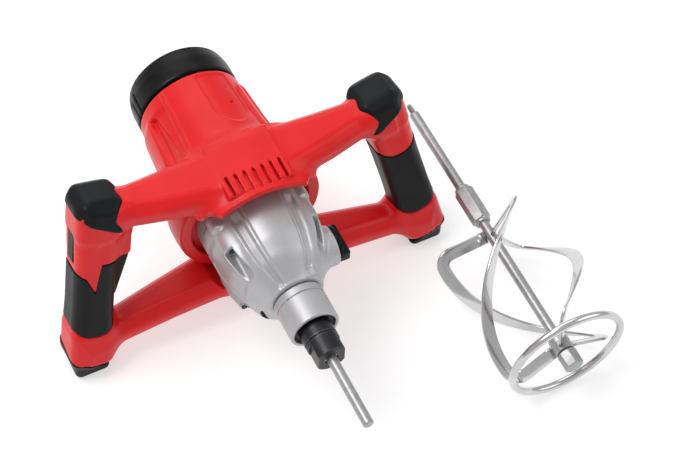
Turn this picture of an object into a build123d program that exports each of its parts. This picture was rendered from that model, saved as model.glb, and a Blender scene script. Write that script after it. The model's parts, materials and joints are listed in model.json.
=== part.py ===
"""Twin-handle paint and mortar mixer lying on its back, with its unscrewed stirrer beside it.

Every size is in millimetres. The tool axis runs along Y: the spindle points to -Y and the motor cap
to +Y. The front of the machine faces +Z, and the floor is Z = 0. Stations along the tool axis are
measured from the open end of the spindle, heights from the tool axis.
"""
import os
from math import cos, radians, sin

from build123d import *

os.makedirs("parts", exist_ok=True)

# ---------------------------------------------------------------- driving dimensions
FLOOR_DROP = 114.0          # tool axis above the floor
CAP_TOP = 343.0             # far end of the motor cap
GRIP_HALF_SPAN = 196.0      # tool axis to the outer side of a rear corner
STIRRER_OFFSET = 212.0      # tool axis to stirrer axis, in X
STIRRER_REACH = 62.0        # outer radius of the stirrer blades
STIRRER_END = -76.0         # station of the stirrer's lowest face

# spindle and gears
NOSE_R = 24.0
NOSE_BORE_R = 20.2
SPINDLE_R = 16.0
SPINDLE_HEAD = 35.0         # length of the spindle's thick head
NOSE_START = 33.0
SPINDLE_SHAFT_R = 8.5
SPINDLE_TAIL_R = 6.0
SOCKET_R = 6.5              # M14 socket
SHAFT_SPACING = 28.0        # countershaft behind the tool axis
COUNTERSHAFT_R = 3.0

# drive rod and stirrer
ROD_R = 5.0
ROD_END = -72.0
SPIGOT_R = 3.0
RING_R = 60.0
RING_WIRE_R = 3.8

# housing
BELL_R = 72.0
MOTOR_R = 54.0
CAP_R = 52.0
WALL = 3.0
FIT = 0.4                   # gap between neighbouring curved faces

# handle corners of the right side, from the spindle's end
FRONT_CORNER = Vector(142.0, 194.0, 56.0)
REAR_CORNER = Vector(173.0, 158.0, -86.0)
GRIP_WIDTH = 40.0
GRIP_DEPTH = 44.0

# ---------------------------------------------------------------- frame of the whole model
AXIS = Vector(
    (GRIP_HALF_SPAN - STIRRER_OFFSET - STIRRER_REACH) / 2,
    -(CAP_TOP + STIRRER_END) / 2,
    FLOOR_DROP,
)


def spot(x, y, z):
    """Point given from the spindle's end."""
    return AXIS + Vector(x, y, z)


def across(y, x=0.0, z=0.0):
    """Plane square to the tool axis at station y: drawn in X and Z, with its normal towards the spindle."""
    return Plane(origin=spot(x, y, z), x_dir=(1, 0, 0), z_dir=(0, -1, 0))


def level(z, x=0.0, y=0.0):
    """Plane facing the front, at height z over the tool axis."""
    return Plane(origin=spot(x, y, z), x_dir=(1, 0, 0), z_dir=(0, 0, 1))


def sideways(x, y=0.0, z=0.0):
    """Plane facing +X, drawn in Y and Z."""
    return Plane(origin=spot(x, y, z), x_dir=(0, 1, 0), z_dir=(1, 0, 0))


MIDDLE = sideways(0)


def drum(y0, y1, radius, hole=0.0, x=0.0, z=0.0, mode=Mode.ADD):
    """Cylinder or ring along the tool axis between two stations, added to the part being built."""
    with BuildSketch(across(y1, x, z)) as disc:
        Circle(radius)
        if hole:
            Circle(hole, mode=Mode.SUBTRACT)
    extrude(disc.sketch, amount=y1 - y0, mode=mode)


def block(x0, x1, y0, y1, z0, z1, mode=Mode.ADD):
    """Box between two corners, added to the part being built."""
    with BuildSketch(level(z0)) as base:
        with Locations(((x0 + x1) / 2, (y0 + y1) / 2)):
            Rectangle(x1 - x0, y1 - y0)
    extrude(base.sketch, amount=z1 - z0, mode=mode)


def turned(points, mode=Mode.ADD):
    """Body of revolution about the tool axis from (radius, station) corners."""
    with BuildSketch(level(0)) as profile:
        with BuildLine():
            Polyline(*points, close=True)
        make_face()
    revolve(profile.sketch, axis=Axis(spot(0, 0, 0), (0, 1, 0)), revolution_arc=360, mode=mode)


def spur(y0, y1, teeth, module, bore, z=0.0, turn=0.0):
    """Spur gear between two stations, with slim trapezoid teeth that leave backlash."""
    pitch_r = teeth * module / 2
    root_r = pitch_r - 1.15 * module
    tip_r = pitch_r + 0.8 * module
    root_half = 0.78 * module
    tip_half = 0.2 * module
    with BuildSketch(across(y1, 0, z)) as face:
        Circle(root_r)
        with PolarLocations(0, teeth, start_angle=turn):
            Polygon(
                (root_r - 0.4, -root_half),
                (tip_r, -tip_half),
                (tip_r, tip_half),
                (root_r - 0.4, root_half),
                align=None,
            )
        Circle(bore, mode=Mode.SUBTRACT)
    extrude(face.sketch, amount=y1 - y0)


# ---------------------------------------------------------------- spindle and what turns with it
HIGH_GEAR = (84.0, 96.0)
LOW_GEAR = (102.0, 112.0)
HIGH_TEETH = (8, 32, 1.4)       # countershaft pinion, spindle gear, module
LOW_TEETH = (7, 43, 1.12)
FIRST_TEETH = (9, 47, 1.0)      # motor pinion, countershaft gear, module

with BuildPart() as spindle:
    drum(0, SPINDLE_HEAD, SPINDLE_R)
    drum(SPINDLE_HEAD, 118, SPINDLE_SHAFT_R)
    drum(118, 139, SPINDLE_TAIL_R)
    for side in (-1, 1):
        block(side * 18 - 5, side * 18 + 5, -1, 16, -20, 20, mode=Mode.SUBTRACT)
    drum(-1, 27, SOCKET_R, mode=Mode.SUBTRACT)
    chamfer(spindle.edges().filter_by(GeomType.CIRCLE).sort_by(Axis.Y)[:2], length=0.8)
spindle.part.label = "spindle"
export_step(spindle.part, "parts/spindle.step")

with BuildPart() as spindle_high_gear:
    spur(*HIGH_GEAR, HIGH_TEETH[1], HIGH_TEETH[2], SPINDLE_SHAFT_R, turn=90 + 180 / HIGH_TEETH[1])
spindle_high_gear.part.label = "spindle_high_gear"
export_step(spindle_high_gear.part, "parts/spindle_high_gear.step")

with BuildPart() as spindle_low_gear:
    spur(*LOW_GEAR, LOW_TEETH[1], LOW_TEETH[2], SPINDLE_SHAFT_R + 0.1, turn=90)
spindle_low_gear.part.label = "spindle_low_gear"
export_step(spindle_low_gear.part, "parts/spindle_low_gear.step")

with BuildPart() as dog_ring:
    drum(97, 101, 15, hole=SPINDLE_SHAFT_R)
dog_ring.part.label = "dog_ring"
export_step(dog_ring.part, "parts/dog_ring.step")

with BuildPart() as drive_rod:
    drum(ROD_END, 2, ROD_R)
    drum(2, 26, SOCKET_R - 0.1)
    drum(ROD_END - 1, ROD_END + 14, SPIGOT_R, mode=Mode.SUBTRACT)
drive_rod.part.label = "drive_rod"
export_step(drive_rod.part, "parts/drive_rod.step")

# ---------------------------------------------------------------- countershaft
with BuildPart() as countershaft:
    drum(77, 171, COUNTERSHAFT_R, z=-SHAFT_SPACING)
    spur(85, 96, HIGH_TEETH[0], HIGH_TEETH[2], 1, z=-SHAFT_SPACING, turn=90)
    spur(101, 113, LOW_TEETH[0], LOW_TEETH[2], 1, z=-SHAFT_SPACING, turn=90)
countershaft.part.label = "countershaft"
export_step(countershaft.part, "parts/countershaft.step")

with BuildPart() as countershaft_gear:
    spur(147, 157, FIRST_TEETH[1], FIRST_TEETH[2], COUNTERSHAFT_R, z=-SHAFT_SPACING, turn=90)
countershaft_gear.part.label = "countershaft_gear"
export_step(countershaft_gear.part, "parts/countershaft_gear.step")

# ---------------------------------------------------------------- motor rotor
with BuildPart() as rotor_shaft:
    drum(143, 161, 3.2)
    drum(161, 325, 4.8)
    spur(145, 159, FIRST_TEETH[0], FIRST_TEETH[2], 2, turn=90)
rotor_shaft.part.label = "rotor_shaft"
export_step(rotor_shaft.part, "parts/rotor_shaft.step")

with BuildPart() as rotor_core:
    with BuildSketch(across(264)):
        Circle(25)
        with PolarLocations(22.5, 12):
            SlotCenterToCenter(5, 2.4, mode=Mode.SUBTRACT)
        Circle(4.8, mode=Mode.SUBTRACT)
    extrude(amount=60)
rotor_core.part.label = "rotor_core"
export_step(rotor_core.part, "parts/rotor_core.step")

with BuildPart() as rotor_windings:
    drum(194, 203.6, 20, hole=8)
    drum(264.4, 275, 20, hole=8)
    fillet(rotor_windings.edges().filter_by(GeomType.CIRCLE), radius=2)
rotor_windings.part.label = "rotor_windings"
export_step(rotor_windings.part, "parts/rotor_windings.step")

with BuildPart() as commutator:
    with BuildSketch(across(299)):
        Circle(13)
        with PolarLocations(12.6, 24):
            Rectangle(1.6, 0.6, mode=Mode.SUBTRACT)
        Circle(4.8, mode=Mode.SUBTRACT)
    extrude(amount=20)
commutator.part.label = "commutator"
export_step(commutator.part, "parts/commutator.step")

with BuildPart() as cooling_fan:
    drum(188, 190, 44, hole=4.8)
    drum(179, 190, 9, hole=4.8)
    with BuildSketch(across(188.5)):
        with PolarLocations(30, 11):
            Rectangle(26, 2, rotation=24)
    extrude(amount=6.5)
cooling_fan.part.label = "cooling_fan"
export_step(cooling_fan.part, "parts/cooling_fan.step")

# ---------------------------------------------------------------- bearings and seals
bearings = {
    "spindle_bearings": [((48, 60), NOSE_BORE_R - 0.2, SPINDLE_SHAFT_R), ((129, 137), 14, SPINDLE_TAIL_R)],
    "rotor_bearings": [((165, 173), 13, 4.8), ((317, 324), 11, 4.8)],
}
for label, pair in bearings.items():
    with BuildPart() as bearing:
        for span, outer, inner in pair:
            drum(*span, outer, hole=inner + 0.03)
            middle = (outer + inner) / 2
            rim = (outer - inner) / 5
            for y0, y1 in ((span[0] - 1, span[0] + 0.8), (span[1] - 0.8, span[1] + 1)):
                drum(y0, y1, middle + rim, hole=middle - rim, mode=Mode.SUBTRACT)
    bearing.part.label = label
    export_step(bearing.part, f"parts/{label}.step")

with BuildPart() as countershaft_bushes:
    for y0, y1 in ((77, 82), (163, 171)):
        drum(y0, y1, 5.5, hole=COUNTERSHAFT_R + 0.03, z=-SHAFT_SPACING)
countershaft_bushes.part.label = "countershaft_bushes"
export_step(countershaft_bushes.part, "parts/countershaft_bushes.step")

with BuildPart() as spindle_seal:
    turned([(14.4, 36), (NOSE_BORE_R - 0.1, 36), (NOSE_BORE_R - 0.1, 44), (18, 44), (18, 39), (14.4, 39)])
    turned([(9, 39), (18, 39), (18, 41), (9, 41)])
spindle_seal.part.label = "spindle_seal"
export_step(spindle_seal.part, "parts/spindle_seal.step")

# ---------------------------------------------------------------- gear housing
GEARBOX_R = 52.0
GEARBOX_END = 162.0
LUG = Vector(41.5, 158.0, 29.0)
SCREW = Vector(38.0, 133.0, 26.0)          # front pair: place and depth of the counterbore
REAR_SCREW = Vector(35.0, 133.0, -40.0)
SCREW_PLACES = [(side * screw.X, screw.Z) for screw in (SCREW, REAR_SCREW) for side in (-1, 1)]
BOSS_R = 7.0
COUNTERBORE_R = 4.6
SCREW_HOLE_R = 2.7

with BuildPart() as nose_sleeve:
    drum(NOSE_START, 70, NOSE_R, hole=NOSE_BORE_R)
    chamfer(nose_sleeve.edges().group_by(Axis.Y)[0], length=0.8)
nose_sleeve.part.label = "nose_sleeve"
export_step(nose_sleeve.part, "parts/nose_sleeve.step")

with BuildPart() as gear_housing:
    turned([(0, 70.3), (25, 70.3), (30, 78), (44, 92), (50, 112), (GEARBOX_R, 135),
            (GEARBOX_R, GEARBOX_END), (0, GEARBOX_END)])
    drum(88, GEARBOX_END, 32, z=-SHAFT_SPACING)
    with Locations(spot(0, 88, -SHAFT_SPACING)):
        Cone(32, 14, 16, rotation=(90, 0, 0), align=(Align.CENTER, Align.CENTER, Align.MIN))
    turned([(0, 76), (10, 76), (28, 82), (39, 94), (46, 114), (GEARBOX_R - 4, 136),
            (GEARBOX_R - 4, GEARBOX_END + 1), (0, GEARBOX_END + 1)], mode=Mode.SUBTRACT)
    drum(82.5, GEARBOX_END + 1, 28.5, z=-SHAFT_SPACING, mode=Mode.SUBTRACT)
    drum(60, 90, 9, mode=Mode.SUBTRACT)
    drum(72.5, 84, 10, hole=5.5, z=-SHAFT_SPACING)
    drum(76, 84, 5.5, z=-SHAFT_SPACING, mode=Mode.SUBTRACT)
    for side in (-1, 1):
        drum(LUG.Y - 12, GEARBOX_END, BOSS_R, x=side * LUG.X, z=LUG.Z)
    for x, z in SCREW_PLACES:
        drum(100, GEARBOX_END, BOSS_R, x=x, z=z)
        drum(90, SCREW.Y, COUNTERBORE_R, x=x, z=z, mode=Mode.SUBTRACT)
        drum(100, GEARBOX_END + 1, SCREW_HOLE_R, x=x, z=z, mode=Mode.SUBTRACT)
    with BuildSketch(sideways(40, 108, 0)):
        Circle(19)
    extrude(amount=14)
    with BuildSketch(sideways(36, 108, 0)):
        Circle(7.2)
    extrude(amount=30, mode=Mode.SUBTRACT)
gear_housing.part.label = "gear_housing"
export_step(gear_housing.part, "parts/gear_housing.step")

with BuildPart() as gear_plate:
    drum(127.5, 138, GEARBOX_R - 6.6)
    drum(126, 128.8, SPINDLE_TAIL_R + 1, mode=Mode.SUBTRACT)
    drum(128.8, 139, 14.05, mode=Mode.SUBTRACT)
    drum(125, 139, 7, z=-SHAFT_SPACING, mode=Mode.SUBTRACT)
    for side in (-1, 1):
        drum(125, 139, BOSS_R + 1, x=side * SCREW.X, z=SCREW.Z, mode=Mode.SUBTRACT)
gear_plate.part.label = "gear_plate"
export_step(gear_plate.part, "parts/gear_plate.step")

with BuildPart() as bearing_bracket:
    drum(GEARBOX_END + 0.3, 175, GEARBOX_R)
    drum(GEARBOX_END + 0.3, 175, 32, z=-SHAFT_SPACING)
    for x, z in SCREW_PLACES:
        drum(GEARBOX_END + 0.3, 175, BOSS_R, x=x, z=z)
        drum(160, 176, SCREW_HOLE_R, x=x, z=z, mode=Mode.SUBTRACT)
    drum(160, 165, 6, mode=Mode.SUBTRACT)
    drum(165, 176, 13.05, mode=Mode.SUBTRACT)
    drum(160, 171.2, 5.55, z=-SHAFT_SPACING, mode=Mode.SUBTRACT)
    drum(160, 173, 3.6, z=-SHAFT_SPACING, mode=Mode.SUBTRACT)
bearing_bracket.part.label = "bearing_bracket"
export_step(bearing_bracket.part, "parts/bearing_bracket.step")

with BuildPart() as gear_screws:
    for x, z in SCREW_PLACES:
        drum(127, 132.9, 4.2, x=x, z=z)
        drum(126.9, 130, 2, x=x, z=z, mode=Mode.SUBTRACT)
        drum(132.9, 179.5, 2.4, x=x, z=z)
gear_screws.part.label = "gear_screws"
export_step(gear_screws.part, "parts/gear_screws.step")

with BuildPart() as selector_knob:
    with BuildSketch(sideways(38, 108, 0)):
        Circle(7)
    extrude(amount=16.4)
    with BuildSketch(sideways(54.4, 108, 0)):
        Circle(17.5)
    extrude(amount=3.6)
    with BuildSketch(sideways(58, 108, 0)):
        SlotOverall(35, 12)
    extrude(amount=6)
    fillet(selector_knob.edges().group_by(Axis.X)[-1], radius=1.5)
selector_knob.part.label = "selector_knob"
export_step(selector_knob.part, "parts/selector_knob.step")

# ---------------------------------------------------------------- motor housing and motor
with BuildPart() as motor_housing:
    turned([(0, 175.4), (BELL_R - 2, 175.4), (BELL_R, 178), (BELL_R, 198), (BELL_R - 6, 212), (57, 226),
            (MOTOR_R, 250), (CAP_R, 305.6), (0, 305.6)])
    drum(168, 176, BELL_R - 2, hole=GEARBOX_R + 10)
    turned([(0, 178.6), (BELL_R - 4, 178.6), (BELL_R - 3.4, 197), (BELL_R - 9.4, 210), (53, 225),
            (MOTOR_R - WALL - 1, 250), (CAP_R - WALL, 301), (0, 301)], mode=Mode.SUBTRACT)
    drum(170, 180, 15, mode=Mode.SUBTRACT)
    drum(300, 330, 14)
    drum(300, 331, 11.05, mode=Mode.SUBTRACT)
    for x, z in SCREW_PLACES:
        drum(175.5, 181, 5, x=x, z=z)
        drum(170, 180, 2.45, x=x, z=z, mode=Mode.SUBTRACT)
motor_housing.part.label = "motor_housing"
export_step(motor_housing.part, "parts/motor_housing.step")

with BuildPart() as stator_core:
    drum(206, 262, 47.5, hole=25.8)
    for side in (-1, 1):
        block(side * 36 - 7, side * 36 + 7, 205, 263, -30, 30, mode=Mode.SUBTRACT)
stator_core.part.label = "stator_core"
export_step(stator_core.part, "parts/stator_core.step")

with BuildPart() as field_coils:
    for side in (-1, 1):
        block(side * 36 - 6, side * 36 + 6, 198, 270, -24, 24)
        block(side * 36 - 7, side * 36 + 7, 204, 264, -15, 15, mode=Mode.SUBTRACT)
field_coils.part.label = "field_coils"
export_step(field_coils.part, "parts/field_coils.step")

with BuildPart() as brush_holders:
    for side in (-1, 1):
        block(side * 27 - 11, side * 27 + 11, 284, 294, -6, 6)
        block(side * 27 - 12, side * 27 + 12, 285.4, 292.6, -4.6, 4.6, mode=Mode.SUBTRACT)
brush_holders.part.label = "brush_holders"
export_step(brush_holders.part, "parts/brush_holders.step")

with BuildPart() as carbon_brushes:
    for side in (-1, 1):
        block(side * 21.5 - 8, side * 21.5 + 8, 285.6, 292.4, -4.4, 4.4)
carbon_brushes.part.label = "carbon_brushes"
export_step(carbon_brushes.part, "parts/carbon_brushes.step")

with BuildPart() as brush_springs:
    for side in (-1, 1):
        with BuildSketch(sideways(side * 34, 289, 0)):
            Circle(3)
            Circle(2, mode=Mode.SUBTRACT)
        extrude(amount=3.8, both=True)
brush_springs.part.label = "brush_springs"
export_step(brush_springs.part, "parts/brush_springs.step")

with BuildPart() as motor_cap:
    turned([(0, 306), (CAP_R, 306), (CAP_R, 334), (47, CAP_TOP), (0, CAP_TOP)])
    fillet(motor_cap.edges().group_by(Axis.Y)[-1], radius=4)
    turned([(0, 305), (CAP_R - WALL, 305), (CAP_R - WALL, 332), (43, 339), (0, 339)], mode=Mode.SUBTRACT)
    for side in (-1, 1):
        block(side * 50 - 5, side * 50 + 5, 305, 326, -9, 9, mode=Mode.SUBTRACT)
        block(side * (CAP_R - 1.5) - 1.5, side * (CAP_R - 1.5) + 1.5, 306, 326, -8.6, 8.6)
    for side in (-1, 1):
        drum(335, CAP_TOP + 1, 3.6, x=side * 8, z=side * 8, mode=Mode.SUBTRACT)
    with Locations(across(CAP_TOP + 1)):
        with PolarLocations(28, 18):
            Box(14, 3, 12, mode=Mode.SUBTRACT)
motor_cap.part.label = "motor_cap"
export_step(motor_cap.part, "parts/motor_cap.step")

with BuildPart() as cap_screws:
    for side in (-1, 1):
        drum(336, 341, 3.4, x=side * 8, z=side * 8)
cap_screws.part.label = "cap_screws"
export_step(cap_screws.part, "parts/cap_screws.step")

# ---------------------------------------------------------------- yokes that carry the handles
GRIP_LENGTH = (REAR_CORNER - FRONT_CORNER).length
GRIP_WAY = (REAR_CORNER - FRONT_CORNER).normalized()
GRIP_OUT = (Vector(1, 0, 0) - GRIP_WAY * GRIP_WAY.X).normalized()
CORE_START = 20.0
CORE_END = GRIP_LENGTH - 28.0


def along_grip(t):
    """Plane square to the right grip, t millimetres from the front corner, with X facing outwards."""
    return Plane(origin=AXIS + FRONT_CORNER + GRIP_WAY * t, x_dir=GRIP_OUT, z_dir=GRIP_WAY)


def grip_bar(t0, t1, width, depth, radius, x=0.0, y=0.0, mode=Mode.ADD):
    """Rounded bar along the right grip, added to the part being built."""
    with BuildSketch(along_grip(t0)) as section:
        with Locations((x, y)):
            RectangleRounded(width, depth, radius)
    extrude(section.sketch, amount=t1 - t0, mode=mode)


def arm(stations, shrink=0.0, mode=Mode.ADD):
    """Tapered arm through (x, y, z, height, thickness) stations, added to the part being built."""
    sections = []
    for x, y, z, height, thickness in stations:
        with BuildSketch(sideways(x, y, z)) as section:
            RectangleRounded(height - 2 * shrink, thickness - 2 * shrink, 10 - shrink)
        sections.append(section.sketch.face())
    loft(sections, ruled=True, mode=mode)


FRONT_ARM = [(36, 180, 60, 58, 32), (80, 184, 59, 48, 33), (142, 193, 57, 38, 36)]
REAR_ARM = [(36, 166, -68, 50, 30), (90, 163, -74, 42, 31), (173, 158, -86, 38, 34)]
REAR_SPLIT = -78
BAND = (151.0, 209.0, BELL_R + 7.5)
FRONT_SCREWS = [(72, 178), (112, 190)]
REAR_SCREWS = [(86, 163), (132, 160)]
REAR_HEAD = -86


def posts(places, z0, z1, radius, mode=Mode.ADD):
    """Mirrored pairs of upright posts at (x, y) places, added to the part being built."""
    for x, y in places:
        for side in (-1, 1):
            with BuildSketch(level(z0, side * x, y)) as foot:
                Circle(radius)
            extrude(foot.sketch, amount=z1 - z0, mode=mode)


with BuildPart() as front_yoke:
    drum(BAND[0], BAND[1], BAND[2], hole=BELL_R + FIT)
    block(-48, 48, 140, 220, 40, 90, mode=Mode.INTERSECT)
    arm(FRONT_ARM)
    grip_bar(-18, CORE_START, GRIP_WIDTH, GRIP_DEPTH, 12)
    mirror(about=MIDDLE)
    drum(140, 240, BELL_R + FIT, mode=Mode.SUBTRACT)

with BuildPart() as front_yoke_void:
    arm([(62, 182, 59.5, 53, 32.5), FRONT_ARM[1], FRONT_ARM[2]], shrink=WALL)
    grip_bar(-15, CORE_START + 1, GRIP_WIDTH - 2 * WALL, GRIP_DEPTH - 2 * WALL, 9)
    mirror(about=MIDDLE)
    block(-62, 62, 100, 260, 20, 90, mode=Mode.SUBTRACT)
    posts(FRONT_SCREWS, 30, 90, 5, mode=Mode.SUBTRACT)

with BuildPart() as rear_yoke:
    drum(143, 191, BELL_R + 8, hole=BELL_R + FIT)
    block(-48, 48, 130, 200, -90, -40, mode=Mode.INTERSECT)
    arm(REAR_ARM)
    grip_bar(CORE_END, GRIP_LENGTH + 16, GRIP_WIDTH, GRIP_DEPTH, 12)
    mirror(about=MIDDLE)
    drum(120, 240, BELL_R + FIT, mode=Mode.SUBTRACT)

with BuildPart() as rear_yoke_void:
    arm([(66, 164.3, -71.3, 45.5, 30.5), REAR_ARM[1], REAR_ARM[2]], shrink=WALL)
    grip_bar(CORE_END - 1, GRIP_LENGTH + 13, GRIP_WIDTH - 2 * WALL, GRIP_DEPTH - 2 * WALL, 9)
    mirror(about=MIDDLE)
    block(-66, 66, 100, 260, -120, -20, mode=Mode.SUBTRACT)
    posts(REAR_SCREWS, -130, -40, 5, mode=Mode.SUBTRACT)

yokes = {
    "front_yoke_cover": (front_yoke, front_yoke_void, 60, Keep.TOP, FRONT_SCREWS, 46),
    "front_yoke_base": (front_yoke, front_yoke_void, 60, Keep.BOTTOM, FRONT_SCREWS, 46),
    "rear_yoke_cover": (rear_yoke, rear_yoke_void, REAR_SPLIT, Keep.TOP, REAR_SCREWS, REAR_HEAD),
    "rear_yoke_base": (rear_yoke, rear_yoke_void, REAR_SPLIT, Keep.BOTTOM, REAR_SCREWS, REAR_HEAD),
}
for label, (solid, void, height, kept, screws, head) in yokes.items():
    with BuildPart() as shell:
        add(solid.part)
        add(void.part, mode=Mode.SUBTRACT)
        posts(screws, head - 30, head, 3.7, mode=Mode.SUBTRACT)
        posts(screws, head - 30, height + 9, 1.8, mode=Mode.SUBTRACT)
        split(bisect_by=level(height), keep=kept)
        if label == "front_yoke_cover":
            for slot in range(7):
                with BuildSketch(level(60, (slot - 3) * 8.6, 166 - slot * 0.6)):
                    SlotOverall(25, 2.4, rotation=90)
                extrude(amount=30, mode=Mode.SUBTRACT)
    shell.part.label = label
    export_step(shell.part, f"parts/{label}.step")

# ---------------------------------------------------------------- grips, bumpers and controls
TRIGGER = (44.0, 92.0)
CORE_WIDTH = 34.0
CORE_DEPTH = 38.0


def left(flip):
    """Mirror the part being built onto the left side when asked."""
    if flip:
        mirror(about=MIDDLE, mode=Mode.REPLACE)


for side, flip in (("right", False), ("left", True)):
    trigger_side = side == "left"
    for half, kept in (("outer", Keep.TOP), ("inner", Keep.BOTTOM)):
        with BuildPart() as grip_shell:
            grip_bar(CORE_START + 0.2, CORE_END - 0.2, CORE_WIDTH, CORE_DEPTH, 12)
            if trigger_side:
                grip_bar(CORE_START + 0.2, TRIGGER[0] - 3, 26, 30, 8, x=-20)
            grip_bar(CORE_START - 1, CORE_END + 1, CORE_WIDTH - 5, CORE_DEPTH - 5, 9.5, mode=Mode.SUBTRACT)
            if trigger_side:
                grip_bar(TRIGGER[0] - 2, TRIGGER[1] + 1, 24, 21, 4, x=-20, mode=Mode.SUBTRACT)
                grip_bar(24, 38, 26, 9, 4, x=-25, mode=Mode.SUBTRACT)
            cut = Plane(origin=along_grip(0).origin, x_dir=GRIP_WAY, z_dir=GRIP_OUT)
            split(bisect_by=cut, keep=kept)
            left(flip)
        grip_shell.part.label = f"{side}_grip_{half}_shell"
        export_step(grip_shell.part, f"parts/{side}_grip_{half}_shell.step")

    with BuildPart() as grip_sleeve:
        start = TRIGGER[0] - 2 if trigger_side else CORE_START + 2
        grip_bar(start, CORE_END - 1.4, GRIP_WIDTH + 1, GRIP_DEPTH - 1, 15)
        grip_bar(start - 1, CORE_END, CORE_WIDTH + 0.2, CORE_DEPTH + 0.2, 12, mode=Mode.SUBTRACT)
        if trigger_side:
            grip_bar(start - 1, TRIGGER[1] + 3, 24, 24, 4, x=-22, mode=Mode.SUBTRACT)
        left(flip)
    grip_sleeve.part.label = f"{side}_grip_sleeve"
    export_step(grip_sleeve.part, f"parts/{side}_grip_sleeve.step")

    with BuildPart() as front_bumper:
        with BuildSketch(along_grip(10)):
            RectangleRounded(GRIP_WIDTH + 10, GRIP_DEPTH + 10, 15)
        extrude(amount=-36, taper=8)
        chamfer(front_bumper.edges().group_by(Axis.Z)[-1], length=4)
        grip_bar(-18.2, 30, GRIP_WIDTH + 0.2, GRIP_DEPTH + 0.2, 12, mode=Mode.SUBTRACT)
        arm(FRONT_ARM, shrink=-0.2, mode=Mode.SUBTRACT)
        left(flip)
    front_bumper.part.label = f"{side}_front_bumper"
    export_step(front_bumper.part, f"parts/{side}_front_bumper.step")

    with BuildPart() as rear_bumper:
        with BuildSketch(level(-FLOOR_DROP, REAR_CORNER.X + 3, REAR_CORNER.Y - 3)):
            RectangleRounded(34, 36, 10)
        extrude(amount=24)
        chamfer(rear_bumper.edges().group_by(Axis.Z)[0], length=2)
        add(rear_yoke.part, mode=Mode.SUBTRACT)
        left(flip)
    rear_bumper.part.label = f"{side}_rear_bumper"
    export_step(rear_bumper.part, f"parts/{side}_rear_bumper.step")

with BuildPart() as trigger:
    grip_bar(TRIGGER[0], TRIGGER[1] - 2, 20, 17, 3, x=-22)
    left(True)
trigger.part.label = "trigger"
export_step(trigger.part, "parts/trigger.step")

with BuildPart() as switch_body:
    grip_bar(TRIGGER[0], TRIGGER[1] + 6, 16, 26, 2, x=5)
    left(True)
switch_body.part.label = "switch_body"
export_step(switch_body.part, "parts/switch_body.step")

with BuildPart() as lock_button:
    grip_bar(26, 36, 16, 6, 2.5, x=-27)
    left(True)
lock_button.part.label = "lock_button"
export_step(lock_button.part, "parts/lock_button.step")

with BuildPart() as speed_module:
    block(-104, -82, 178, 197, 50, 66)
speed_module.part.label = "speed_module"
export_step(speed_module.part, "parts/speed_module.step")

with BuildPart() as cord_gland:
    with BuildSketch(across(192, 0, -83)):
        Circle(8)
    extrude(amount=-6)
    with BuildSketch(across(198, 0, -83)):
        Circle(8)
    extrude(amount=-30, taper=4)
    with BuildSketch(across(200, 0, -83)):
        Circle(3.6)
    extrude(amount=-40, mode=Mode.SUBTRACT)
cord_gland.part.label = "cord_gland"
export_step(cord_gland.part, "parts/cord_gland.step")

with BuildPart() as yoke_screws:
    for screws, head, height in ((FRONT_SCREWS, 46, 60), (REAR_SCREWS, REAR_HEAD, REAR_SPLIT)):
        posts(screws, head - 2.5, head, 3.5)
        posts(screws, head, height + 8, 1.7)
yoke_screws.part.label = "yoke_screws"
export_step(yoke_screws.part, "parts/yoke_screws.step")

# ---------------------------------------------------------------- stirrer
STIRRER_Z = STIRRER_REACH - FLOOR_DROP
BLADE_WIDTH = 13.0
BLADE_THICKNESS = 3.0
BLADE_TOP = 84.0
BLADE_FOOT = -51.0
BLADE_TURN = 150.0
BLADE_R = STIRRER_REACH - BLADE_WIDTH / 2
BLADE_BEND = 12.0
COUPLING = (98.0, 143.0)
COUPLING_AF = 18.0

with BuildPart() as stirrer_upper_rod:
    drum(121, 242, ROD_R, x=STIRRER_OFFSET, z=STIRRER_Z)
    drum(242, 254, SPIGOT_R - 0.1, x=STIRRER_OFFSET, z=STIRRER_Z)
stirrer_upper_rod.part.label = "stirrer_upper_rod"
export_step(stirrer_upper_rod.part, "parts/stirrer_upper_rod.step")

with BuildPart() as stirrer_rod:
    drum(-72, 120, ROD_R, x=STIRRER_OFFSET, z=STIRRER_Z)
stirrer_rod.part.label = "stirrer_rod"
export_step(stirrer_rod.part, "parts/stirrer_rod.step")

with BuildPart() as rod_coupling:
    with BuildSketch(across(COUPLING[1], STIRRER_OFFSET, STIRRER_Z)):
        RegularPolygon(COUPLING_AF / 2, 6, major_radius=False, rotation=30)
        Circle(ROD_R + 0.02, mode=Mode.SUBTRACT)
    extrude(amount=COUPLING[1] - COUPLING[0])
rod_coupling.part.label = "rod_coupling"
export_step(rod_coupling.part, "parts/rod_coupling.step")

with BuildPart() as stirrer_hub:
    drum(-58, -42, 9.5, hole=ROD_R + 0.02, x=STIRRER_OFFSET, z=STIRRER_Z)
stirrer_hub.part.label = "stirrer_hub"
export_step(stirrer_hub.part, "parts/stirrer_hub.step")

with BuildPart() as hub_nut:
    with BuildSketch(across(-58.5, STIRRER_OFFSET, STIRRER_Z)):
        RegularPolygon(8.5, 6, major_radius=False)
        Circle(ROD_R + 0.02, mode=Mode.SUBTRACT)
    extrude(amount=-58.5 - STIRRER_END)
hub_nut.part.label = "hub_nut"
export_step(hub_nut.part, "parts/hub_nut.step")

with BuildPart() as stirrer_ring:
    with BuildSketch(level(STIRRER_Z, STIRRER_OFFSET, -60)):
        with Locations((RING_R - RING_WIRE_R, 0)):
            Circle(RING_WIRE_R)
    revolve(axis=Axis(spot(STIRRER_OFFSET, 0, STIRRER_Z), (0, 1, 0)), revolution_arc=360)
stirrer_ring.part.label = "stirrer_ring"
export_step(stirrer_ring.part, "parts/stirrer_ring.step")

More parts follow.
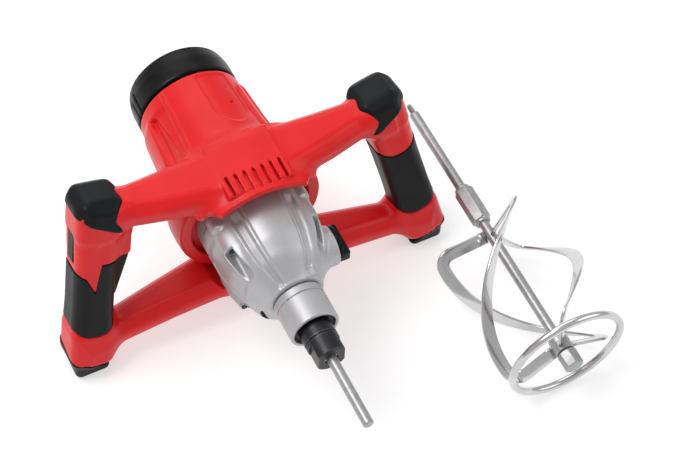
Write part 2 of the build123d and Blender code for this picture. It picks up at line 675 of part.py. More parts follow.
TURN_LENGTH = BLADE_R * radians(BLADE_TURN)
DROP_LENGTH = BLADE_TOP - BLADE_FOOT
STRIP_LENGTH = (TURN_LENGTH**2 + DROP_LENGTH**2) ** 0.5


def strip_plane(first_angle, radius, way, d_radius, d_way):
    """Plane square to a blade at a radius and at a way along its helix, for a heading in those two."""
    angle = radians(first_angle + BLADE_TURN * way / STRIP_LENGTH)
    out = Vector(cos(angle), 0, sin(angle))
    around = Vector(-sin(angle), 0, cos(angle)) * (TURN_LENGTH / STRIP_LENGTH)
    helix = around + Vector(0, -DROP_LENGTH / STRIP_LENGTH, 0)
    centre = spot(STIRRER_OFFSET, BLADE_TOP - DROP_LENGTH * way / STRIP_LENGTH, STIRRER_Z)
    heading = out * d_radius + helix * d_way
    width = helix * d_radius - out * d_way
    return Plane(origin=centre + out * radius, x_dir=width, z_dir=heading)


def blade_sections(first_angle):
    """Planes down one blade: out along its top spoke, down the helix and back along its bottom spoke."""
    planes = [strip_plane(first_angle, r, 0, 1, 0) for r in (ROD_R + 0.05, 20, 34)]
    for turn in (0, 30, 60, 90):
        rounding = radians(turn)
        radius = BLADE_R - BLADE_BEND * (1 - sin(rounding))
        way = BLADE_BEND * (1 - cos(rounding))
        planes.append(strip_plane(first_angle, radius, way, cos(rounding), sin(rounding)))
    for step in range(1, 8):
        way = BLADE_BEND + (STRIP_LENGTH - 2 * BLADE_BEND) * step / 8
        planes.append(strip_plane(first_angle, BLADE_R, way, 0, 1))
    for turn in (0, 30, 60, 90):
        rounding = radians(turn)
        radius = BLADE_R - BLADE_BEND * (1 - cos(rounding))
        way = STRIP_LENGTH - BLADE_BEND * (1 - sin(rounding))
        planes.append(strip_plane(first_angle, radius, way, -sin(rounding), cos(rounding)))
    planes += [strip_plane(first_angle, r, STRIP_LENGTH, -1, 0) for r in (34, 20, 9.55)]
    return planes


for number, first_angle in enumerate((68, 188, 308), start=1):
    with BuildPart() as blade:
        for plane in blade_sections(first_angle):
            with BuildSketch(plane):
                Rectangle(BLADE_WIDTH, BLADE_THICKNESS)
        loft(ruled=True)
    blade.part.label = f"stirrer_blade_{number}"
    export_step(blade.part, f"parts/stirrer_blade_{number}.step")
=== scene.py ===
import json
from math import cos, pi, radians, sin, tau

import bmesh
import bpy
import numpy as np
from mathutils import Matrix, Vector


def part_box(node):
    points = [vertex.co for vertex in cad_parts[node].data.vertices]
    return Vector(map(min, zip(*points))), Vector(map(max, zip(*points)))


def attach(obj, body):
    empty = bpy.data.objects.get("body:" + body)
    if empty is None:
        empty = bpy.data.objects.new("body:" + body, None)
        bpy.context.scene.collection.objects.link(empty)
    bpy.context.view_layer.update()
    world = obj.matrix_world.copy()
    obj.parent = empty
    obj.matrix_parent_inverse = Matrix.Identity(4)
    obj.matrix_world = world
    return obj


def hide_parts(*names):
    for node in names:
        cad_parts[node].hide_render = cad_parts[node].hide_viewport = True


# %% [markdown]
# A two-handed paint mixer lies on its rear pads, and its stirrer lies beside it. This file dresses the
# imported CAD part: the part gives the frame, the joints and the inner works, and every outer shell is
# modelled again here with the soft edges, ribs and grips of the real moulding. All places are in
# millimetres from the open end of the spindle: x to the right handle, y along the tool to the motor
# cap, z to the front of the machine.

# %% Frame
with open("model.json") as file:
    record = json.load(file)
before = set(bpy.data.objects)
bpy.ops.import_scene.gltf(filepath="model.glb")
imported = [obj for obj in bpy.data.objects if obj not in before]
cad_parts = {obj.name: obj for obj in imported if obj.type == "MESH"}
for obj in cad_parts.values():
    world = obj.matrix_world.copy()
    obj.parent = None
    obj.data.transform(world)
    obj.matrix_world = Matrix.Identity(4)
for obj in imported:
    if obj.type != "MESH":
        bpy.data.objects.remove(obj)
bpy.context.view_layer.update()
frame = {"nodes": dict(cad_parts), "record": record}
nodes = frame["nodes"]
MM = 0.001
spindle_low, spindle_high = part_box("spindle")
TOOL = Vector(((spindle_low.x + spindle_high.x) / 2, spindle_low.y, (spindle_low.z + spindle_high.z) / 2))
rod_low, rod_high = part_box("stirrer_rod")
STIRRER_X = ((rod_low.x + rod_high.x) / 2 - TOOL.x) / MM
STIRRER_Z = ((rod_low.z + rod_high.z) / 2 - TOOL.z) / MM
FLOOR = -TOOL.z / MM
CELL = 1.1     # grid for the moulded shapes
PUSHES = 3                            # rounds of moving vertices onto the true surface
print("tool axis starts at", [round(value, 4) for value in TOOL])

# %% [markdown]
# The camera is a long lens, high up and to the left of the spindle. A long lens keeps the two handles
# nearly parallel, and a small roll stands the machine on the picture's diagonal.

# %% Camera
AZIMUTH, ELEVATION, ROLL = radians(-29.4), radians(56.13), radians(3.63)
CAMERA_FROM_TOOL = Vector((-0.4357, -0.7677, 1.5272))
FOCAL_LENGTH, SENSOR_WIDTH = 106.7, 36.0
camera = bpy.data.objects.new("camera", bpy.data.cameras.new("camera"))
bpy.context.scene.collection.objects.link(camera)
bpy.context.scene.camera = camera
camera.data.lens = FOCAL_LENGTH
camera.data.sensor_width = SENSOR_WIDTH
towards = Vector((sin(AZIMUTH) * cos(ELEVATION), -cos(AZIMUTH) * cos(ELEVATION), sin(ELEVATION)))
level_right = Vector((0, 0, 1)).cross(towards).normalized()
level_up = towards.cross(level_right)
right = level_right * cos(ROLL) + level_up * sin(ROLL)
up = level_up * cos(ROLL) - level_right * sin(ROLL)
turn = Matrix((right, up, towards)).transposed().to_4x4()
camera.matrix_world = Matrix.Translation(TOOL + CAMERA_FROM_TOOL) @ turn
print("camera stands", round(CAMERA_FROM_TOOL.length, 3), "m from the spindle's end")

# %% [markdown]
# Shader maths reads best as plain sums. `Wire` wraps an output socket, and adding or multiplying two
# wires adds the Math node that does it. `Finish` is one material, with one method, `node`, that makes
# every node in its tree.


# %% Shader helpers
class Wire:
    """An output socket that takes part in sums."""

    def __init__(self, finish, socket):
        self.finish = finish
        self.socket = socket

    def maths(self, operation, first, second):
        return self.finish.node("ShaderNodeMath", {"operation": operation}, {0: first, 1: second})

    def __add__(self, other):
        return self.maths("ADD", self, other)

    def __mul__(self, other):
        return self.maths("MULTIPLY", self, other)

    def __sub__(self, other):
        return self.maths("SUBTRACT", self, other)

    def __rsub__(self, other):
        return self.maths("SUBTRACT", other, self)

    __radd__ = __add__
    __rmul__ = __mul__


class Finish:
    """A Principled material, and the one method that adds nodes to it."""

    def __init__(self, name, base, **sockets):
        self.material = bpy.data.materials.new(name)
        self.material.use_nodes = True
        self.material.diffuse_color = (*base, 1)
        self.tree = self.material.node_tree
        self.shader = self.tree.nodes["Principled BSDF"]
        self.base = base
        self.shader.inputs["Base Color"].default_value = (*base, 1)
        for socket, value in sockets.items():
            title = socket.replace("_", " ").title().replace("Ior", "IOR")
            self.shader.inputs[title].default_value = value

    def node(self, kind, settings=None, inputs=None, output=0):
        made = self.tree.nodes.new(kind)
        for name, value in (settings or {}).items():
            setattr(made, name, value)
        for slot, value in (inputs or {}).items():
            if isinstance(value, Wire):
                self.tree.links.new(value.socket, made.inputs[slot])
            else:
                made.inputs[slot].default_value = value
        return Wire(self, made.outputs[output])

    def plug(self, wire, socket):
        self.tree.links.new(wire.socket, self.shader.inputs[socket])

    def place(self, stretch=(1, 1, 1)):
        where = self.node("ShaderNodeTexCoord", output="Object")
        return self.node("ShaderNodeMapping", inputs={"Vector": where, "Scale": stretch})

    def noise(self, scale, detail=3.0, stretch=(1, 1, 1), roughness=0.5):
        inputs = {"Vector": self.place(stretch), "Scale": scale, "Detail": detail, "Roughness": roughness}
        return self.node("ShaderNodeTexNoise", inputs=inputs, output="Fac")

    def grains(self, scale):
        inputs = {"Vector": self.place(), "Scale": scale}
        return self.node("ShaderNodeTexVoronoi", inputs=inputs, output="Distance")

    def edge_wear_and_sheen(self):
        """Zero on flats and hollows, one on sharp outer edges: edge wear on the steels, a painted sheen on
        the rubber.
        """
        edge = self.node("ShaderNodeNewGeometry", output="Pointiness")
        return self.node("ShaderNodeClamp", inputs={"Value": (edge - 0.5) * 9.0})

    def colour(self, mask, other, low=0.35, high=0.65):
        """The base colour where the mask is low, another where it is high."""
        start, end = ((edge - low) / (high - low) for edge in (0.0, 1.0))
        share = self.node("ShaderNodeMapRange", inputs={"Value": mask, "To Min": start, "To Max": end})
        inputs = {0: share, 6: (*self.base, 1), 7: (*other, 1)}
        self.plug(self.node("ShaderNodeMix", {"data_type": "RGBA"}, inputs, output=2), "Base Color")

    def rough(self, wire):
        self.plug(wire, "Roughness")

    def bump(self, wire, strength, depth=0.0002):
        inputs = {"Height": wire, "Strength": strength, "Distance": depth}
        self.plug(self.node("ShaderNodeBump", inputs=inputs), "Normal")


# %% [markdown]
# The housing and handles are glass-filled nylon, moulded in red. Such plastic has a satin gloss, a fine
# orange peel, and patches where the mould was polished a little more.


# %% Red nylon
def red_plastic():
    finish = Finish("red_plastic", (0.67, 0.008, 0.01), specular_ior_level=0.28)
    haze = finish.noise(38, 4)
    finish.colour(haze, (0.61, 0.006, 0.008), 0.3, 0.75)
    finish.rough(haze * 0.1 + 0.28)
    finish.bump(finish.noise(900, 2) * 0.6 + finish.noise(160, 2) * 0.4, 0.05)
    return finish.material


# %% [markdown]
# The grips are a soft black elastomer moulded over the nylon: matt, with a fine grain, and a grey sheen
# painted into the colour of its crowns. The hard black parts are smoother, with a spark-eroded texture.


# %% Black rubber and black plastic
def black_rubber():
    finish = Finish("black_rubber", (0.004, 0.0045, 0.0055), specular_ior_level=0.16)
    # Painted sheen: the crowns and sharp edges are painted a lighter grey, mixed with random tone from the
    # noise.
    finish.colour(finish.edge_wear_and_sheen() * 0.6 + finish.noise(60, 4) * 0.4, (0.012, 0.013, 0.015), 0.2, 0.9)
    finish.rough(finish.noise(45, 3) * 0.16 + 0.34)
    finish.bump(finish.grains(1500) * 0.7 + finish.noise(2600, 2) * 0.3, 0.2)
    return finish.material


def black_plastic():
    finish = Finish("black_plastic", (0.003, 0.003, 0.0035), specular_ior_level=0.15)
    finish.colour(finish.noise(80, 4), (0.007, 0.007, 0.008))
    finish.rough(finish.noise(50, 3) * 0.16 + 0.26)
    finish.bump(finish.noise(2200, 3), 0.12)
    return finish.material


# %% [markdown]
# The gear case is an aluminium die casting under silver paint. The flakes make it half metal, half
# paint, so metallic sits between the two and a fine noise makes the paint sparkle unevenly.


# %% Painted casting
def cast_alloy():
    finish = Finish("cast_alloy", (0.46, 0.46, 0.475), metallic=0.5, specular_ior_level=0.5)
    finish.colour(finish.noise(900, 4, roughness=0.65), (0.4, 0.4, 0.41), 0.35, 0.75)
    finish.rough(finish.noise(120, 3) * 0.08 + 0.38)
    finish.bump(finish.noise(1500, 3), 0.08)
    return finish.material


# %% [markdown]
# Four steels: the oiled black spindle with worn edges, the chromed blades, the grey zinc of rods and
# nuts, and the ground gears inside. They differ in base colour, and above all in roughness.


# %% Steels
def dark_steel():
    finish = Finish("dark_steel", (0.035, 0.035, 0.038), metallic=0.85)
    finish.colour(finish.edge_wear_and_sheen() + finish.noise(120, 4) * 0.35, (0.2, 0.2, 0.21), 0.25, 1.0)
    finish.rough(finish.noise(300, 3) * 0.2 + 0.26)
    finish.bump(finish.noise(160, 3, (1, 12, 1)), 0.1)
    return finish.material


def polished_steel():
    finish = Finish("polished_steel", (0.62, 0.62, 0.63), metallic=1.0)
    finish.colour(finish.noise(30, 4), (0.47, 0.47, 0.48), 0.4, 0.8)
    finish.rough(finish.noise(55, 5) * 0.16 + 0.08)
    finish.bump(finish.noise(420, 3, (1, 3, 1)), 0.05)
    return finish.material


def rod_steel():
    finish = Finish("rod_steel", (0.33, 0.33, 0.335), metallic=0.8)
    finish.colour(finish.noise(180, 5, roughness=0.7), (0.45, 0.45, 0.45), 0.35, 0.7)
    finish.rough(finish.noise(140, 4) * 0.2 + 0.3)
    finish.bump(finish.noise(700, 3, (1, 0.2, 1)), 0.12)
    return finish.material


def gear_steel():
    finish = Finish("gear_steel", (0.42, 0.42, 0.43), metallic=1.0)
    finish.colour(finish.edge_wear_and_sheen() + finish.noise(90, 4) * 0.3, (0.6, 0.6, 0.6), 0.2, 0.9)
    finish.rough(finish.noise(200, 3) * 0.2 + 0.22)
    finish.bump(finish.noise(600, 2), 0.08)
    return finish.material


# %% [markdown]
# The last three finishes are inside the motor and show when the shells come off: bronze bushes,
# enamelled copper windings with their wires drawn by a wave, and pressed graphite brushes.


# %% Bronze, copper and carbon
def bronze():
    finish = Finish("bronze", (0.55, 0.36, 0.13), metallic=1.0)
    finish.colour(finish.noise(300, 5), (0.4, 0.26, 0.1))
    finish.rough(finish.noise(260, 3) * 0.2 + 0.3)
    finish.bump(finish.grains(1800), 0.12)
    return finish.material


def copper():
    finish = Finish("copper", (0.5, 0.16, 0.06), metallic=0.9)
    finish.colour(finish.noise(60, 4), (0.36, 0.1, 0.04))
    finish.rough(finish.noise(70, 3) * 0.2 + 0.2)
    inputs = {"Vector": finish.place(), "Scale": 620.0}
    wires = finish.node("ShaderNodeTexWave", inputs=inputs, output="Fac")
    finish.bump(wires, 0.5)
    return finish.material


def carbon():
    finish = Finish("carbon", (0.03, 0.03, 0.032), specular_ior_level=0.6)
    finish.colour(finish.grains(900), (0.06, 0.06, 0.062), 0.2, 0.8)
    finish.rough(finish.noise(400, 3) * 0.2 + 0.45)
    finish.bump(finish.noise(1500, 3), 0.2)
    return finish.material


# %% [markdown]
# Every CAD node gets the finish that its record names, and the pieces made below use the same eleven.


# %% Finishes on the CAD nodes
RECIPES = (red_plastic, black_rubber, black_plastic, cast_alloy, dark_steel, polished_steel, rod_steel,
           gear_steel, bronze, copper, carbon)
FINISHES = {recipe.__name__: recipe() for recipe in RECIPES}
for entry in frame["record"]["subparts"]:
    materials = nodes[entry["node"]].data.materials
    materials.clear()
    materials.append(FINISHES[entry["material_slot"]])
print("finishes made:", len(FINISHES))

# %% [markdown]
# Moulded shells have no sharp corners: walls run into each other with a radius. Distance fields give
# that for nothing. A field says how far each point is from a surface, negative inside. Two fields join
# with a fillet when their smaller value is taken softly, and that is all that `melt` does.


# %% Distance fields
NOWHERE = 99.0            # a value far outside every shape


def melt(first, second, radius):
    """Both shapes, with a fillet between them."""
    near = np.maximum(radius - np.abs(first - second), 0) / radius
    return np.minimum(first, second) - near * near * radius / 4


def meet(first, second, radius=0.5):
    """What the shapes share, with rounded edges."""
    return -melt(-first, -second, radius)


def carve(first, second, radius=0.5):
    """The first shape without the second."""
    return -melt(-first, second, radius)


def corner(across, along):
    """Distance to a convex corner, from the distances to its two sides."""
    outside = np.hypot(np.maximum(across, 0), np.maximum(along, 0))
    return np.minimum(np.maximum(across, along), 0) + outside


def between(value, low, high):
    return np.maximum(low - value, value - high)


def drum(p, y0, y1, radius, x=0.0, z=0.0, edge=1.0):
    """Cylinder along the tool with rounded rims."""
    around = np.hypot(p[0] - x, p[2] - z) - (radius - edge)
    return corner(around, between(p[1], y0 + edge, y1 - edge)) - edge


def block(u, v, w, u_half, v_half, w_half, edge=2.0):
    """Rounded box about the origin of three coordinates."""
    gaps = [np.abs(c) - (half - edge) for c, half in ((u, u_half), (v, v_half), (w, w_half))]
    outside = np.sqrt(sum(np.maximum(gap, 0) ** 2 for gap in gaps))
    return np.minimum(np.maximum(np.maximum(*gaps[:2]), gaps[2]), 0) + outside - edge


def section(u, v, u_half, v_half, edge, bevel=0.0):
    """Long bar with a rounded section, and bevelled long edges when asked."""
    bar = corner(np.abs(u) - (u_half - edge), np.abs(v) - (v_half - edge)) - edge
    if bevel:
        slant = (np.abs(u) + np.abs(v) - (u_half + v_half - bevel)) * 0.7071
        bar = meet(bar, slant, 3.0)
    return bar


def eased(value, stations, soft=3.0):
    """Outline through (station, radius) points, with its corners eased."""
    pitch, margin = 0.25, 30
    at = np.arange(stations[0][0] - margin, stations[-1][0] + margin, pitch)
    radii = np.interp(at, *zip(*stations))
    reach = int(soft / pitch)
    weights = np.hanning(2 * reach + 3)[1:-1]
    smooth = np.convolve(np.pad(radii, reach, mode="edge"), weights / weights.sum(), mode="valid")
    return np.interp(value, at, smooth)


def step(value, edge, soft):
    """From 0 to 1 as the value passes an edge."""
    share = np.clip((value - edge) / soft + 0.5, 0, 1)
    return share * share * (3 - 2 * share)


def window(value, low, high, soft):
    """One between two edges and zero outside them."""
    return step(value, low, soft) * (1 - step(value, high, soft))


def left_only(p, field):
    """The field on the left side, and nothing on the right."""
    return np.where(p[0] < 0, field, NOWHERE)


def polar(p):
    """Distance from the tool's axis, and the angle from the front in degrees."""
    return np.hypot(p[0], p[2]), np.degrees(np.arctan2(p[0], p[2]))


def arc(degrees, around):
    """Length of an arc at a distance from the axis."""
    return degrees * around * radians(1)


# %% [markdown]
# A field becomes a mesh with surface nets: one vertex in every grid cell that the surface passes
# through, and a quad around every grid edge that it crosses. The vertices are then pushed onto the
# true surface, and the field's slope gives each one an exact normal, so few faces look smooth.


# %% Surface nets
def net(values):
    """Vertices in grid steps and quads of the zero level of a sampled field."""
    size = np.array(values.shape) - 1
    pitch = np.array((size[1] * size[2], size[2], 1))
    total = int(size.prod())
    count = np.zeros(total)
    sums = np.zeros((3, total))
    quads = []
    for axis in range(3):
        fore = np.moveaxis(values, axis, 0)
        crossing = np.moveaxis((fore[:-1] < 0) != (fore[1:] < 0), 0, axis)
        spots = np.argwhere(crossing)
        start = values[tuple(spots.T)]
        spots_after = spots.copy()
        spots_after[:, axis] += 1
        end = values[tuple(spots_after.T)]
        places = spots.astype(float)
        places[:, axis] += start / (start - end)
        one, two = (axis + 1) % 3, (axis + 2) % 3
        ring = []
        for back_one, back_two in ((1, 1), (0, 1), (0, 0), (1, 0)):
            cells = spots.copy()
            cells[:, one] -= back_one
            cells[:, two] -= back_two
            index = cells @ pitch
            ring.append(index)
            count += np.bincount(index, minlength=total)
            for k in range(3):
                sums[k] += np.bincount(index, weights=places[:, k], minlength=total)
        ring = np.stack(ring, axis=1)
        ring[start > 0] = ring[start > 0][:, ::-1]
        quads.append(ring)
    used = np.flatnonzero(count)
    rank = np.zeros(total, dtype=np.int64)
    rank[used] = np.arange(len(used))
    return (sums[:, used] / count[used]).T, rank[np.concatenate(quads)]


def slope(field, points):
    """Direction in which the field grows, at each point."""
    reach = 0.05
    sides = []
    for axis in range(3):
        shift = np.zeros((3, 1))
        shift[axis] = reach
        sides.append(field(points + shift) - field(points - shift))
    grown = np.array(sides) / (2 * reach)
    return grown / np.maximum(np.linalg.norm(grown, axis=0), 1e-6)


def to_world(points):
    """Metres in the frame from tool millimetres, one row for each point."""
    return np.asarray(points) * MM + np.array(TOOL)


def dress(piece, slot, body, *replaced):
    """Finish, body and stand-in role of a piece."""
    piece.data.materials.append(FINISHES[slot])
    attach(piece, body)
    if replaced:
        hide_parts(*replaced)
    return piece


def new_piece(name, vertices, faces, normals=None):
    """Smooth object from points in tool millimetres."""
    mesh = bpy.data.meshes.new(name)
    mesh.from_pydata(to_world(vertices).tolist(), [], faces)
    mesh.shade_smooth()
    if normals is not None:
        mesh.normals_split_custom_set_from_vertices(normals.tolist())
    piece = bpy.data.objects.new(name, mesh)
    bpy.context.scene.collection.objects.link(piece)
    return piece


def parted(points, quads, height, keep_above):
    """The mesh on one side of a parting plane, closed with a flat face."""
    cutter = bmesh.new()
    corners = [cutter.verts.new(point) for point in points.T]
    for quad in quads:
        cutter.faces.new([corners[index] for index in quad])
    everything = cutter.verts[:] + cutter.edges[:] + cutter.faces[:]
    bmesh.ops.bisect_plane(cutter, geom=everything, dist=1e-4, plane_co=(0, 0, height), plane_no=(0, 0, 1),
                           clear_inner=keep_above, clear_outer=not keep_above)
    open_edges = [edge for edge in cutter.edges if edge.is_boundary]
    bmesh.ops.holes_fill(cutter, edges=open_edges, sides=0)
    cutter.verts.index_update()
    faces = [[corner.index for corner in face.verts] for face in cutter.faces]
    places = np.array([tuple(corner.co) for corner in cutter.verts]).T
    cutter.free()
    return places, faces


def mould(name, field, low, high, slot, body, replaced=(), cell=CELL, parting=None):
    """Mesh of a field inside a box, cut at a parting height when asked, dressed as one piece."""
    axes = [np.arange(a - cell * 1.5, b + cell * 2.5, cell) for a, b in zip(low, high)]
    grid = np.meshgrid(*axes, indexing="ij", sparse=True)
    values = field(np.array([np.broadcast_to(g, [len(a) for a in axes]) for g in grid]))
    values[[0, -1]] = values[:, [0, -1]] = values[:, :, [0, -1]] = cell
    places, quads = net(values)
    points = (places * cell + [axis[0] for axis in axes]).T
    for _ in range(PUSHES):
        points = points - slope(field, points) * np.clip(field(points), -cell / 2, cell / 2)
    faces = quads.tolist()
    if parting:
        points, faces = parted(points, faces, *parting)
    piece = new_piece(name, points.T, faces, slope(field, points).T)
    print(name, "has", len(faces), "faces")
    return dress(piece, slot, body, *replaced)


# %% [markdown]
# The motor housing is one barrel that flares into a bell around the fan. Its front has a smooth shield
# with a ridge and a deep wedge-shaped recess on its left and stepped panels on its right. Each is a
# small change of radius, set by the angle around the tool and the station along it.


# %% Motor housing
HOUSING_LINE = [(160, 68.5), (172, 71), (182, 72), (198, 71.6), (212, 66), (228, 58.5), (250, 55.4),
                (306, 51.6)]
HOUSING_REACH = 72        # largest radius of the bell
HOUSING_END = 305.2       # where the cap begins, with a fine gap
BACK_VENTS = [180 + 9 * k for k in range(-4, 5)]
DIMPLES = ((14, 300), (30, 282), (27, 262))        # (angle, station)


def housing_radius(y, angle):
    """The barrel with its ridges, recesses and panels."""
    radius = eased(y, HOUSING_LINE, 9)
    upper = step(y, 214, 8)
    ridge = window(angle, -38, -33, 2.0) * window(y, 215, 303, 10)
    wedge = window(angle, -44 - (y - 222) * 0.2, -39.5, 3.5) * window(y, 228, 288, 8)
    trench = window(angle, -66 + (300 - y) * 0.06, -44 - (y - 222) * 0.2, 3.5) * window(y, 216, 288, 5)
    shoulder = step(-angle, 66, 4) * (1 - step(-angle, 128, 5)) * window(y, 216, 290, 10)
    panel_end = 236 + np.abs(angle - 22) ** 2 * 0.05
    panel = window(angle, 4, 39, 3) * step(y, panel_end, 4) * (1 - step(y, 300, 3))
    groove = window(angle, 43, 50, 2.5) * window(y, 224, 282, 8)
    right_rib = window(angle, 50, 58, 3) * window(y, 214, 290, 12)
    flank = window(angle, 64, 128, 5) * window(y, 216, 294, 10)
    return radius + upper * (
        1.6 * ridge - 2.4 * wedge - 5.0 * trench + 2.2 * shoulder
        - 1.0 * panel - 2.6 * groove + 1.2 * right_rib + 2.0 * flank
    )


def housing_field(p):
    """The bell, open at the gear case, with vents behind and dimples in front."""
    around, angle = polar(p)
    y = p[1]
    shell = (around - np.minimum(housing_radius(y, angle), HOUSING_REACH)) * 0.93
    shell = meet(shell, between(y, 168.6, HOUSING_END), 2.5)
    gap_end = 58.5 + 7.5 * (1 - step(np.abs(angle), 40, 3))
    well = np.maximum(around - gap_end, y - 176)
    teeth = arc(np.abs((angle + 2.5) % 5 - 2.5), around) - 1.2
    well = np.maximum(well, -np.maximum(np.maximum(teeth, 60 - around), 172 - y))
    shell = carve(shell, well, 2.5)
    for middle in BACK_VENTS:
        turned = (angle - middle + 180) % 360 - 180
        vent = np.maximum(arc(np.abs(turned), around) - 1.6, between(y, 258, 294))
        shell = carve(shell, np.maximum(vent, 51 - around), 0.8)
    for dimple_angle, dimple_y in DIMPLES:
        dimple_x, dimple_z = 53 * sin(radians(dimple_angle)), 53 * cos(radians(dimple_angle))
        spot = np.sqrt((p[0] - dimple_x) ** 2 + (y - dimple_y) ** 2 + (p[2] - dimple_z) ** 2) - 1.8
        shell = carve(shell, spot, 0.5)
    hollow = np.maximum(around - 43, between(y, 182, 300))
    return np.maximum(shell, -hollow)


mould("motor_housing_shell", housing_field, (-73, 168, -73), (73, 306, 73), "red_plastic",
      "machine", ("motor_housing",))

# %% [markdown]
# The cap closes the motor and carries the air inlet: a satin black drum with a soft shoulder, a thin
# step where it meets the housing, a brush door on each side and a ring of slots on top.


# %% Motor cap
CAP_LINE = [(300, 51.8), (326, 51.6), (336, 49.8), (343, 46.4)]


def cap_field(p):
    """The cap, with a step at its foot, two brush doors and a ring of slots."""
    around, angle = polar(p)
    y = p[1]
    radius = eased(y, CAP_LINE, 4)
    seam = np.maximum(window(angle, -71, -67.8, 0.8), window(angle, 67.8, 71, 0.8))
    radius = radius - 1.8 * seam * (1 - step(y, 330, 2)) - 1.6 * window(y, 305, 308, 0.8)
    turned = np.abs(angle)
    door = window(turned, 80, 100, 2) * window(y, 308, 326, 1.5)
    rim = window(turned, 78, 102, 2) * window(y, 306, 328, 1.5) - door
    cap = meet((around - radius + 0.9 * rim) * 0.97, between(y, 306.2, 342.8), 5)
    cap = carve(cap, np.maximum(around - 48.5, y - 338), 0.5)
    sector = (angle + 10) % 20 - 10
    slot = np.maximum(arc(np.abs(sector), around) - 2.2, between(around, 22, 40))
    cap = carve(cap, np.maximum(slot, 330 - y), 1.2)
    dish = np.maximum(around - 15, 341.2 - y)
    return carve(cap, dish, 1.0)


mould("motor_cap_shell", cap_field, (-53, 306, -53), (53, 343, 53), "black_plastic", "machine",
      ("motor_cap",))

# %% [markdown]
# The handles are closed frames. A band wraps the bell, arms run out from it, and a slanting grip joins
# the front arm to the rear arm on each side. Written as one field and melted together, the arms flow
# into the band and corners as they do in the moulding; the field is then cut into the real pieces.


# %% Handle frame
FRONT_CORNER = np.array((142.0, 194.0, 56.0))
REAR_CORNER = np.array((173.0, 158.0, -86.0))
GRIP_LENGTH = float(np.linalg.norm(REAR_CORNER - FRONT_CORNER))
GRIP_WAY = (REAR_CORNER - FRONT_CORNER) / GRIP_LENGTH
GRIP_OUT = np.array((1.0, 0, 0)) - GRIP_WAY * GRIP_WAY[0]
GRIP_OUT /= np.linalg.norm(GRIP_OUT)
GRIP_SIDE = np.cross(GRIP_WAY, GRIP_OUT)
FRONT_ARM = [(30, 180, 61, 58, 31), (80, 184, 59, 46, 32), (112, 188, 58, 37, 32),
             (142, 193, 57, 38, 36)]    # (x, y, z, height, thickness)
REAR_ARM = [(30, 166, -67, 52, 29), (90, 163, -74, 41, 30), (140, 160, -81, 34, 30),
            (173, 158, -86, 37, 33)]
BAND_REACH = 78.8         # radius of the front band
BORE_RADIUS = 72.6        # the motor housing goes through here
HANDLE_REACH = 195.6      # half the width over the handles


def grip_axes(p):
    """Outward, sideways and lengthwise distances along the grip, the same on both sides."""
    x, y, z = np.abs(p[0]) - FRONT_CORNER[0], p[1] - FRONT_CORNER[1], p[2] - FRONT_CORNER[2]
    return [x * axis[0] + y * axis[1] + z * axis[2] for axis in (GRIP_OUT, GRIP_SIDE, GRIP_WAY)]


def arm_field(p, stations):
    """Tapered arm through (x, y, z, height, thickness) stations, on both sides."""
    out = np.abs(p[0])
    xs, ys, zs, heights, thicknesses = zip(*stations)
    y, z, height, thickness = (np.interp(out, xs, row) for row in (ys, zs, heights, thicknesses))
    bar = section(p[1] - y, p[2] - z, height / 2, thickness / 2, 6.0, 9.0)
    return np.maximum(bar * 0.97, out - xs[-1])


def grip_core(p):
    """Grip bar with a waist, as a hand wants it."""
    u, v, t = grip_axes(p)
    slim = 1.0 * window(t, 40, GRIP_LENGTH - 34, 40)
    bar = section(u, v, 20.2 - slim, 21.8 - slim, 13.0)
    return np.maximum(bar, between(t, -12, GRIP_LENGTH + 10))


def frame_field(p):
    """Both bands, the four arms, both grips and the trigger's hood as one shape."""
    around = np.hypot(p[0], p[2])
    out = np.abs(p[0])
    u, v, t = grip_axes(p)
    front_edge = 139 + 12.5 * step(out, 46, 11)
    band = np.maximum(around - BAND_REACH, between(p[1], front_edge, 208.5) * 0.9)
    front = meet(np.maximum(band, 38 - p[2]), out - 58, 6)
    rear_band = np.maximum(around - 79.2, between(p[1], 143.5, 190.5))
    rear = meet(np.maximum(rear_band, p[2] + 38), out - 40, 6)
    front_corner = block(u, v, t - 1, 20, 22, 19, 9)
    rear_corner = block(u, v, t - GRIP_LENGTH + 6, 20, 21, 22, 9)
    front = melt(front, arm_field(p, FRONT_ARM), 9)
    rear = melt(rear, arm_field(p, REAR_ARM), 9)
    crown = block(p[0], p[1] - 176, p[2] - 66, 32, 31, 12.3, 2.5)
    front = melt(front, crown, 1.5)
    grips = melt(melt(grip_core(p), front_corner, 4), rear_corner, 4)
    hood = left_only(p, block(u + 19, v, t - 27, 14, 15.5, 15.5, 5))
    whole = melt(melt(front, rear, 2), grips, 13)
    whole = meet(melt(whole, hood, 9), out - HANDLE_REACH, 2)
    return carve(whole, np.maximum(around - BORE_RADIUS, between(p[1], 120, 260)), 0.8)


# %% [markdown]
# The soft sleeve starts under a curved edge: on the right a bow, on the left a step that leaves room
# for the trigger. One boundary in grip coordinates cuts both pieces, so they fit each other.


# %% Sleeve, pad and trigger bay
LEFT_EDGE = ((-40, 43), (-2.5, 43), (2.5, 75), (11, 58), (22, 52))    # (outward, along the grip)
GRIP_INNER = -36.0        # outward places below this belong to the arms
UNDER_SLEEVE = (80.0, GRIP_LENGTH - 36)    # where the grip mouldings run, hidden by the sleeves
GAP = 0.35                # between red and black pieces
SLOTS, SLOT_PITCH, SLOT_FLOOR = range(-3, 4), 8.6, 75.8


def sleeve_region(p):
    """Where the soft sleeve is, in grip coordinates."""
    u, _, t = grip_axes(p)
    bow = 9 * (1 - (u / 21) ** 2)
    lower = GRIP_LENGTH - 30 + bow * 0.8
    upper = np.where(p[0] > 0, 38 + bow, np.interp(u, *zip(*LEFT_EDGE)))
    return np.maximum(between(t, upper, lower) * 0.85, GRIP_INNER + 2 - u)


